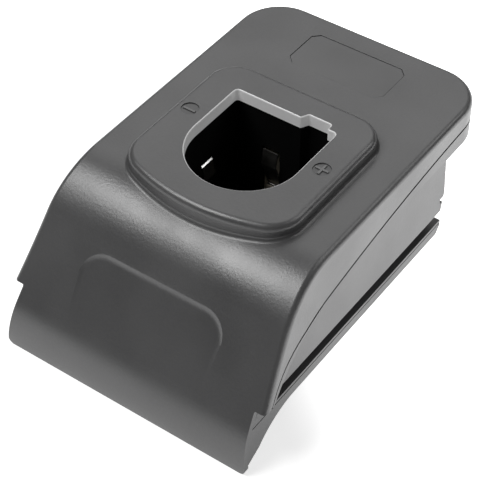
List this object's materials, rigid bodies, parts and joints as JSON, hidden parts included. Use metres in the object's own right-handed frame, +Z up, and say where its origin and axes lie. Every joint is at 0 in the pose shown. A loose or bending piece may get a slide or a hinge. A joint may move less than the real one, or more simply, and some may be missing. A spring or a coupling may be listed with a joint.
{
  "type": "power tool battery charging cradle",
  "caption": "Charging cradle for a stalk-type power tool battery: rounded cover with a raised D-shaped keyed socket, sloping apron, side guide grooves and sprung contacts.",
  "frame": {"origin": "under the middle of the footprint, at the level of the apron's tip, the lowest point", "axes": "+Z up, out of the socket; +Y towards the overhanging rear end; +X to the right seen from the apron, the side of the positive contact"},
  "size_m": [0.0994, 0.145, 0.0605],
  "materials": {
    "grey_plastic": "fine spark-eroded grain, dark grey",
    "grey_plastic_low": "fine spark-eroded grain, dark grey",
    "black_plastic": "smooth matt black",
    "plate_plastic": "smooth satin, bare",
    "contact_metal": "nickel-plated spring strip",
    "holder_plastic": "natural glass-filled",
    "brass": "stamped",
    "board": "solder-masked laminate",
    "header_plastic": "moulded",
    "glass_tube": "clear tube with metal caps",
    "resistor_body": "coated",
    "capacitor_sleeve": "shrink sleeve",
    "lead_black": "extruded insulation",
    "lead_red": "extruded insulation",
    "lead_white": "extruded insulation",
    "screw_steel": "zinc plated"
  },
  "bodies": {
    "housing": {"top_cover": "grey_plastic", "lower_housing": "grey_plastic_low", "battery_well": "black_plastic", "label_plate": "plate_plastic", "holder_negative": "holder_plastic", "holder_positive": "holder_plastic", "holder_sense": "holder_plastic", "contact_tabs": "brass", "circuit_board": "board", "lead_header": "header_plastic", "fuse": "glass_tube", "diode": "black_plastic", "resistor": "resistor_body", "capacitor": "capacitor_sleeve", "terminal_block": "black_plastic", "output_plate_negative": "contact_metal", "output_plate_positive": "contact_metal", "output_plate_sense": "contact_metal", "lead_negative": "lead_black", "lead_positive": "lead_red", "lead_sense": "lead_white", "housing_screws": "screw_steel", "board_screws": "screw_steel", "well_screws": "screw_steel"},
    "negative_leaf": {"leaf_negative": "contact_metal"},
    "positive_leaf": {"leaf_positive": "contact_metal"},
    "sense_leaf": {"leaf_sense": "contact_metal"}
  },
  "joints": [
    {"name": "hinge_leaf_negative", "type": "hinge", "parent": "housing", "child": "negative_leaf", "pos_m": [-0.0232, 0.0007, 0.0215], "axis": [0, -1, 0], "range_deg": [0, 4], "stiffness_Nm_per_rad": 0.02},
    {"name": "hinge_leaf_positive", "type": "hinge", "parent": "housing", "child": "positive_leaf", "pos_m": [0.0232, 0.0007, 0.0215], "axis": [0, 1, 0], "range_deg": [0, 4], "stiffness_Nm_per_rad": 0.02},
    {"name": "hinge_leaf_sense", "type": "hinge", "parent": "housing", "child": "sense_leaf", "pos_m": [-0.006, 0.021, 0.0215], "axis": [-1, 0, 0], "range_deg": [0, 4], "stiffness_Nm_per_rad": 0.02}
  ]
}
